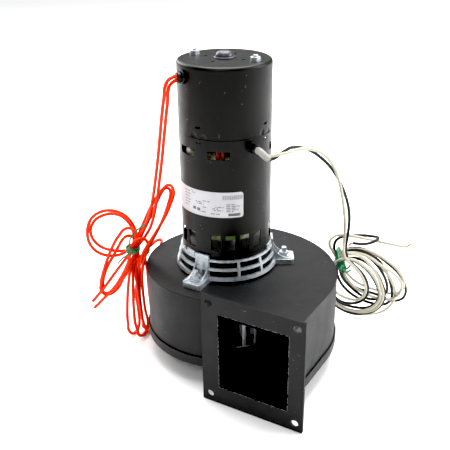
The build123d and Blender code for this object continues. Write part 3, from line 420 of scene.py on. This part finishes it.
def windings():
    """Varnished wire bundles under cream tape, with green phase insulation."""
    paint = Paint("winding", (0.5, 0.46, 0.28), 0.42)
    wires = paint.nodes.new("ShaderNodeTexWave")
    wires.bands_direction = "Z"
    wires.inputs["Scale"].default_value = 380.0
    wires.inputs["Distortion"].default_value = 3.0
    wires.inputs["Detail"].default_value = 2.0
    paint.link(paint.place, wires, "Vector")
    copper = paint.mix(wires.outputs["Fac"], (0.10, 0.065, 0.02), (0.30, 0.22, 0.10))
    patch = paint.noise(75.0, 1.0)
    taped = paint.mix(paint.grey(patch, 0.46, 0.52), copper, (0.42, 0.41, 0.30))
    green = paint.grey(paint.noise(48.0, 0.0), 0.60, 0.63)
    height = paint.nodes.new("ShaderNodeSeparateXYZ")
    paint.link(paint.place, height, "Vector")
    low = paint.math("LESS_THAN", height.outputs["Z"], WINDING_GREEN_TOP)
    paint.colour(paint.mix(paint.math("MULTIPLY", green, low), taped, (0.12, 0.20, 0.05)))
    paint.bump(wires.outputs["Fac"], 0.0002, 0.6)
    return paint.material


def plastic(name, colour, roughness, grain=1200.0, spread=0.25, depth=0.00003, specular=0.5):
    """Moulded or extruded plastic or rubber with slight colour drift and fine grain."""
    paint = Paint(name, colour, roughness, specular=specular)
    low = tuple(value * (1 - spread) for value in colour)
    high = tuple(min(1.0, value * (1 + spread)) for value in colour)
    paint.colour(paint.mix(paint.grey(paint.noise(90.0, 4.0), 0.3, 0.7), low, high))
    paint.roughness(paint.grey(paint.noise(240.0, 3.0), 0.3, 0.7, roughness - 0.06, roughness + 0.08))
    paint.bump(paint.noise(grain, 2.0), depth, 0.5)
    return paint.material


def red_silicone():
    """Red-orange silicone rubber, satin."""
    return plastic("red_silicone", (0.72, 0.030, 0.003), 0.48, spread=0.10, depth=0.00004, specular=0.18)


def white_vinyl():
    """Cream-white insulation, a little grubby."""
    return plastic("white_vinyl", (0.40, 0.375, 0.29), 0.38, spread=0.12)


def film_label():
    """Silver-white printed film."""
    paint = Paint("label", (0.42, 0.42, 0.44), 0.34, metallic=0.15)
    cloud = paint.grey(paint.noise(40.0, 3.0), 0.3, 0.7)
    paint.colour(paint.mix(cloud, (0.38, 0.38, 0.40), (0.47, 0.47, 0.49)))
    paint.roughness(paint.grey(paint.noise(300.0, 3.0), 0.3, 0.7, 0.28, 0.42))
    paint.bump(paint.noise(500.0, 2.0), 0.00002, 0.3)
    return paint.material


MATERIALS = {
    "housing_paint": powder_coat(),
    "motor_paint": motor_enamel(),
    "zinc_plate": zinc(),
    "galvanised_steel": sheet_steel("galvanised_steel", (0.42, 0.43, 0.44), 0.42),
    "machined_steel": sheet_steel("machined_steel", (0.46, 0.46, 0.46), 0.30),
    "bearing_bronze": sheet_steel("bearing_bronze", (0.55, 0.36, 0.14), 0.40),
    "laminated_steel": laminations(),
    "cast_aluminium": sheet_steel("cast_aluminium", (0.60, 0.61, 0.62), 0.45),
    "winding": windings(),
    "fan_plastic": plastic("fan_plastic", (0.40, 0.42, 0.38), 0.5),
    "board_phenolic": plastic("board_phenolic", (0.16, 0.07, 0.025), 0.45),
    "contact_brass": sheet_steel("contact_brass", (0.66, 0.48, 0.17), 0.32),
    "label": film_label(),
    "bushing_plastic": plastic("bushing_plastic", (0.005, 0.005, 0.0055), 0.34, specular=0.25),
    "sleeve_plastic": plastic("sleeve_plastic", (0.26, 0.26, 0.235), 0.40),
    "red_silicone": red_silicone(),
    "black_vinyl": plastic("black_vinyl", (0.004, 0.004, 0.0042), 0.36, specular=0.22),
    "white_vinyl": white_vinyl(),
    "copper": sheet_steel("copper", (0.70, 0.22, 0.07), 0.42),
    "green_tie": plastic("green_tie", (0.006, 0.16, 0.055), 0.34, spread=0.3),
}
PRINT = plastic("label_ink", (0.05, 0.05, 0.055), 0.5)

OWN_LOOK = {
    "outlet_flange": flange_coat(),
    "shaft_cap": plastic("cap_plastic", (0.030, 0.026, 0.038), 0.40),
    # painted shade: the inner leads get a darkened copy of the red silicone to stand for the shade inside the
    # motor
    "inner_switch_leads": plastic("shade_painted_silicone", (0.10, 0.004, 0.001), 0.5, specular=0.2),
}

SLOTS = {part["node"]: part["material_slot"] for part in frame["record"]["subparts"]}
for name, slot in SLOTS.items():
    for material_slot in frame["nodes"][name].material_slots:
        material_slot.material = OWN_LOOK.get(name, MATERIALS[slot])


# ---------------------------------------------------------------- leads
def dress(piece, slot):
    """Gives a new piece the material listed for a slot, links it into the scene and gives it its body."""
    piece.data.materials.append(MATERIALS[slot])
    bpy.context.scene.collection.objects.link(piece)
    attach(piece, "root")
    return piece


def lead(name, route, diameter, slot):
    """A round lead on one open NURBS spline."""
    curve = bpy.data.curves.new(name, "CURVE")
    curve.dimensions = "3D"
    curve.bevel_depth = diameter / 2 * MM
    curve.bevel_resolution = 5
    curve.resolution_u = 8
    curve.use_fill_caps = True
    spline = curve.splines.new("NURBS")
    spline.points.add(len(route) - 1)
    for control, (x, y, z) in zip(spline.points, route):
        control.co = (x * MM, y * MM, z * MM, 1.0)
    spline.order_u = 3
    spline.use_endpoint_u = True
    return dress(bpy.data.objects.new(name, curve), slot)


red_1 = lead("red_cord_1", RED_ROUTE_1, RED_DIAMETER, "red_silicone")
red_2 = lead("red_cord_2", RED_ROUTE_2, RED_DIAMETER, "red_silicone")
black = lead("black_cord", BLACK_ROUTE, POWER_DIAMETER, "black_vinyl")
white = lead("white_cord", WHITE_ROUTE, POWER_DIAMETER, "white_vinyl")
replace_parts(red_1, "red_lead_1", "red_hank", "red_upper_loop", "red_tail_1")
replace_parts(red_2, "red_lead_2", "red_side_loops", "red_tail_2")
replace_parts(black, "black_lead", "power_coil", "black_tail")
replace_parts(white, "white_lead", "white_tail")


# ---------------------------------------------------------------- ties and bare copper
def sweep(shape, path, profile, across):
    """Adds a closed solid that carries a profile along a path; across is the profile's first axis."""
    rings = []
    for index, point in enumerate(path):
        ahead = path[min(index + 1, len(path) - 1)] - path[max(index - 1, 0)]
        side = (across - ahead * across.dot(ahead) / ahead.length_squared).normalized()
        out = ahead.normalized().cross(side)
        rings.append([shape.verts.new((point + side * a + out * b) * MM) for a, b in profile])
    count = len(profile)
    for first, second in zip(rings, rings[1:]):
        for k in range(count):
            shape.faces.new((first[k], first[(k + 1) % count], second[(k + 1) % count], second[k]))
    shape.faces.new(rings[0][::-1])
    shape.faces.new(rings[-1])


def finished(shape, name):
    """A new object from a bmesh, with its faces turned outwards."""
    bmesh.ops.recalc_face_normals(shape, faces=shape.faces)
    mesh = bpy.data.meshes.new(name)
    shape.to_mesh(mesh)
    shape.free()
    return bpy.data.objects.new(name, mesh)


def swept(name, sweeps):
    """One smooth mesh object made of several sweeps."""
    shape = bmesh.new()
    for path, profile, across in sweeps:
        sweep(shape, path, profile, across)
    piece = finished(shape, name)
    piece.data.shade_smooth()
    return piece


def round_profile(radius, sides):
    return [(radius * cos(2 * pi * k / sides), radius * sin(2 * pi * k / sides)) for k in range(sides)]


def hanging(across, depth, height):
    """A point of the turned frame that the loose loops hang in."""
    return Vector((across * cos(HANG_TURN) - depth * sin(HANG_TURN),
                   across * sin(HANG_TURN) + depth * cos(HANG_TURN), height))


def tie_profile(width):
    """A plastic strip with the ridge of its wire along the middle."""
    half = width / 2
    top = [(-half, 0.2), (-0.5, 0.25), (-0.25, 0.55), (0.25, 0.55), (0.5, 0.25), (half, 0.2)]
    return top + [(a, -b) for a, b in reversed(top)]


def smooth(points, steps=8):
    """A rounded path through a few points."""
    path = []
    ends = [points[0], *points, points[-1]]
    for a, b, c, d in zip(ends, ends[1:], ends[2:], ends[3:]):
        for step in range(steps):
            t = step / steps
            path.append(0.5 * (2 * b + (c - a) * t + (2 * a - 5 * b + 4 * c - d) * t ** 2
                               + (3 * b - a - 3 * c + d) * t ** 3))
    return path + [points[-1]]


def loop(centre, first, second, overlap=0.12, steps=40):
    """An oval band's middle line that runs a little past its start."""
    turns = [2 * pi * (1 + overlap) * step / steps for step in range(steps + 1)]
    return [centre + first * cos(turn) + second * sin(turn) * (1 + 0.03 * turn / pi) for turn in turns]


def red_hank_tie():
    upright = Vector((0, 0, 1))
    ring = loop(hanging(-92.0, 7.4, 81.5), hanging(6.8, 0, 0.6), hanging(0, 8.4, -0.6))
    knot = [hanging(-94.5, 0.6, 79.0), hanging(-96.0, -3.0, 82.0), hanging(-92.0, -3.8, 85.5),
            hanging(-88.6, -2.6, 83.0), hanging(-92.0, -1.6, 79.5)]
    long_tail = [hanging(-92.5, -1.6, 82.0), hanging(-93.6, -3.0, 93.0), hanging(-88.0, -2.0, 103.0),
                 hanging(-78.0, 1.0, 111.0)]
    short_tail = [hanging(-93.5, -1.6, 80.5), hanging(-100.0, -4.0, 77.5), hanging(-106.0, -5.0, 71.0)]
    facing = hanging(1, 0, -0.7)
    sweeps = [(ring, tie_profile(5.2), upright), (smooth(knot), tie_profile(2.8), facing)]
    sweeps += [(smooth(tail), tie_profile(1.5), facing) for tail in (long_tail, short_tail)]
    return dress(swept("red_twist_tie", sweeps), "green_tie")


def power_coil_tie():
    centre = hanging(114.0, 17.5, 62.0)
    along = hanging(0.60, 0.22, 0.76).normalized()
    radial = hanging(-0.40, -0.28, 0.87)
    depth = hanging(0.0, 0.96, 0.28)
    ring = loop(centre, radial * 9.5, depth * 13.0)
    front = centre - depth * 13.6
    knot = [front + radial * 3.0 - along * 2.5, front + radial * 5.5 - depth * 2.6, front + along * 3.2,
            front - radial * 4.5 - depth * 1.5]
    tails = [[front, front - radial * 7.0 + along * 3.0 - depth * 2.0, front - radial * 12.0 + along * 8.0],
             [front, front - radial * 5.0 + along * 7.0 - depth * 2.0, front - radial * 5.0 + along * 17.0]]
    sweeps = [(ring, tie_profile(5.6), along), (smooth(knot), tie_profile(4.4), along)]
    sweeps += [(smooth(tail), tie_profile(2.0), depth + radial) for tail in tails]
    return dress(swept("power_twist_tie", sweeps), "green_tie")


def strand_bundle(name, route, length, splay, bend, count=9):
    """Fine copper strands, twisted and fraying, that leave the cut end of a lead."""
    end = Vector(route[-1])
    ahead = (end - Vector(route[-2])).normalized()
    side = ahead.orthogonal().normalized()
    other = ahead.cross(side)
    hexagon = round_profile(STRAND_RADIUS, 6)
    first_radius, twist, buried, steps = 0.62, 3.2, 0.8, 12
    sweeps = []
    for index in range(count):
        start = 2 * pi * index / count
        reach = length * (0.72 + 0.28 * ((index * 5) % count) / count)
        path = []
        for step in range(steps + 1):
            t = step / steps
            turn = start + twist * t
            radius = first_radius + splay * t ** 2 * (0.3 + ((index * 4) % count) / count)
            middle = end + ahead * (reach * t - buried) + bend * t ** 2
            path.append(middle + (side * cos(turn) + other * sin(turn)) * radius)
        sweeps.append((path, hexagon, side + other * 0.3))
    return dress(swept(name, sweeps), "copper")


def collar_spring():
    """The governor's spring as a fixed coil between the collar and the shoulder above it; the real spring
    shortens as the collar slides towards its fixed upper end, which this coil does not do.
    """
    low, high = SPRING_ENDS
    turns = (high - low - 2 * SPRING_WIRE) / SPRING_PITCH
    steps = round(turns * 24)
    path = []
    for step in range(steps + 1):
        turn = 2 * pi * turns * step / steps
        height = low + SPRING_WIRE + SPRING_PITCH * turns * step / steps
        path.append(Vector((SPRING_RADIUS * cos(turn), SPRING_RADIUS * sin(turn), height)))
    piece = swept("spring_coils", [(path, round_profile(SPRING_WIRE, 8), Vector((0, 0, 1)))])
    slot = SLOTS["collar_spring"]
    piece.data.materials.append(MATERIALS[slot])
    bpy.context.scene.collection.objects.link(piece)
    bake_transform(piece)
    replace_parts(piece, "collar_spring")


collar_spring()
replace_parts(red_hank_tie(), "red_hank_tie")
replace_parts(power_coil_tie(), "power_coil_tie")
black_strands = strand_bundle("black_copper", BLACK_ROUTE, 6.5, 0.9, hanging(0.8, 0, -4.0))
white_strands = strand_bundle("white_copper", WHITE_ROUTE, 6.5, 1.2, hanging(0.5, 0, 5.5))
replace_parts(black_strands, "bare_wire_ends")
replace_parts(white_strands, "bare_wire_ends")


# ---------------------------------------------------------------- printed label
def label_marks():
    """Generic print on the curved label, as (angle, width, low, high) in degrees and millimetres."""
    marks = []
    for index in range(34):     # the bars of a barcode
        width = (0.35, 0.7, 0.5)[index % 3]
        marks.append((-63.5 + index * 0.74, width * 0.55, 152.6, 156.8))
    rows = (                    # lines of small marks: start angle, count and height
        (-60, 9, 147.6), (-60, 14, 145.9), (-60, 11, 144.2), (-60, 13, 142.6), (-60, 8, 141.0),
        (-72, 8, 145.0), (-76, 6, 143.4), (-74, 9, 141.8), (-90, 9, 149.6), (-99, 7, 148.0), (-97, 8, 146.4),
        (-90, 5, 143.8), (-92, 7, 139.2), (-78, 9, 138.4), (-104, 4, 155.5), (-107, 3, 157.0),
        (-120, 9, 155.6), (-120, 10, 152.8), (-120, 8, 150.0), (-120, 10, 147.2), (-120, 9, 144.4),
        (-120, 7, 141.6))
    for start, count, height in rows:
        for index in range(count):
            if (index * 7 + start) % 5:
                marks.append((start + index * 1.25, 0.95, height, height + 0.9))
    blocks = ((-56.5, 13, 137.0, 139.6), (-103.5, 4, 140.2, 143.0), (-97.0, 4, 139.8, 142.6))
    for start, count, low, high in blocks:
        for index in range(count):
            marks.append((start + index * 1.15, 1.0, low, high))
    return marks


def printed_label():
    """Thin raised patches, one for each mark."""
    shape = bmesh.new()
    inner = (MOTOR_RADIUS + LABEL_THICKNESS) * MM
    outer = inner + PRINT_THICKNESS * MM
    for angle, width, low, high in label_marks():
        corners = []
        for radius in (inner, outer):
            for turn in (radians(angle), radians(angle + width)):
                for height in (low, high):
                    corners.append(shape.verts.new((radius * cos(turn), radius * sin(turn), height * MM)))
        for face in ((4, 6, 7, 5), (0, 1, 3, 2), (0, 4, 5, 1), (2, 3, 7, 6), (1, 5, 7, 3), (0, 2, 6, 4)):
            shape.faces.new([corners[index] for index in face])
    piece = finished(shape, "label_print")
    piece.data.materials.append(PRINT)
    bpy.context.scene.collection.objects.link(piece)
    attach(piece, "root")


printed_label()


# ---------------------------------------------------------------- floor, light and camera
def studio():
    """White paper floor, pale world, four soft lamps and an even wash from overhead."""
    reach, clearance = 12.0, 0.0002
    corners = [(-reach, -reach, 0), (reach, -reach, 0), (reach, reach, 0), (-reach, reach, 0)]
    mesh = bpy.data.meshes.new("floor")
    mesh.from_pydata(corners, [], [(0, 1, 2, 3)])
    floor = bpy.data.objects.new("floor", mesh)
    floor.location = (0, 0, FLOOR - clearance)
    paper = Paint("floor_paper", (0.93, 0.93, 0.93), 0.9, specular=0.1)
    mesh.materials.append(paper.material)
    bpy.context.scene.collection.objects.link(floor)

    world = bpy.data.worlds.new("studio")
    world.use_nodes = True
    world.node_tree.nodes["Background"].inputs["Color"].default_value = (1.0, 1.0, 1.0, 1.0)
    world.node_tree.nodes["Background"].inputs["Strength"].default_value = 0.30
    bpy.context.scene.world = world

    target = Vector((0.03, 0.0, 0.12))
    lamps = (
        ("top", (-0.25, 0.55, 1.5), 1.2, 60.0),
        ("left_back", (-1.5, 0.5, 0.9), 1.0, 30.0),
        ("right_back", (1.3, 0.9, 0.9), 1.0, 34.0),
        ("front_fill", (0.5, -1.6, 1.5), 0.8, 14.0),
    )
    for name, place, size, power in lamps:
        light = bpy.data.lights.new(name, "AREA")
        light.shape = "SQUARE"
        light.size = size
        light.energy = power
        lamp = bpy.data.objects.new(name, light)
        lamp.location = place
        lamp.rotation_euler = (target - Vector(place)).to_track_quat("-Z", "Y").to_euler()
        bpy.context.scene.collection.objects.link(lamp)

    wash = bpy.data.lights.new("overhead", "SUN")
    wash.energy = 1.6
    wash.angle = radians(40.0)
    bpy.context.scene.collection.objects.link(bpy.data.objects.new("overhead", wash))


def camera():
    """A 58 mm lens in front and to the right, looking down by 25 degrees."""
    yaw, pitch, roll = radians(30.631), radians(-24.927), radians(-0.5905)
    forward = Vector((-sin(yaw) * cos(pitch), cos(yaw) * cos(pitch), sin(pitch)))
    right = Vector((cos(yaw), sin(yaw), 0.0))
    up = right.cross(forward)
    axes = Matrix((right, up, -forward)).transposed() @ Matrix.Rotation(roll, 3, "Z")
    data = bpy.data.cameras.new("camera")
    data.sensor_width = 36.0
    data.lens = 58.25
    data.shift_x = -0.00944
    data.shift_y = 0.00523
    data.clip_start = 0.01
    item = bpy.data.objects.new("camera", data)
    item.matrix_world = Matrix.Translation((0.32429, -0.54232, 0.40033)) @ axes.to_4x4()
    bpy.context.scene.collection.objects.link(item)
    bpy.context.scene.camera = item


studio()
camera()

view = bpy.context.scene.view_settings
view.view_transform = "Standard"
view.use_curve_mapping = True
view.curve_mapping.black_level = (BLACK_LEVEL,) * 3
view.curve_mapping.update()
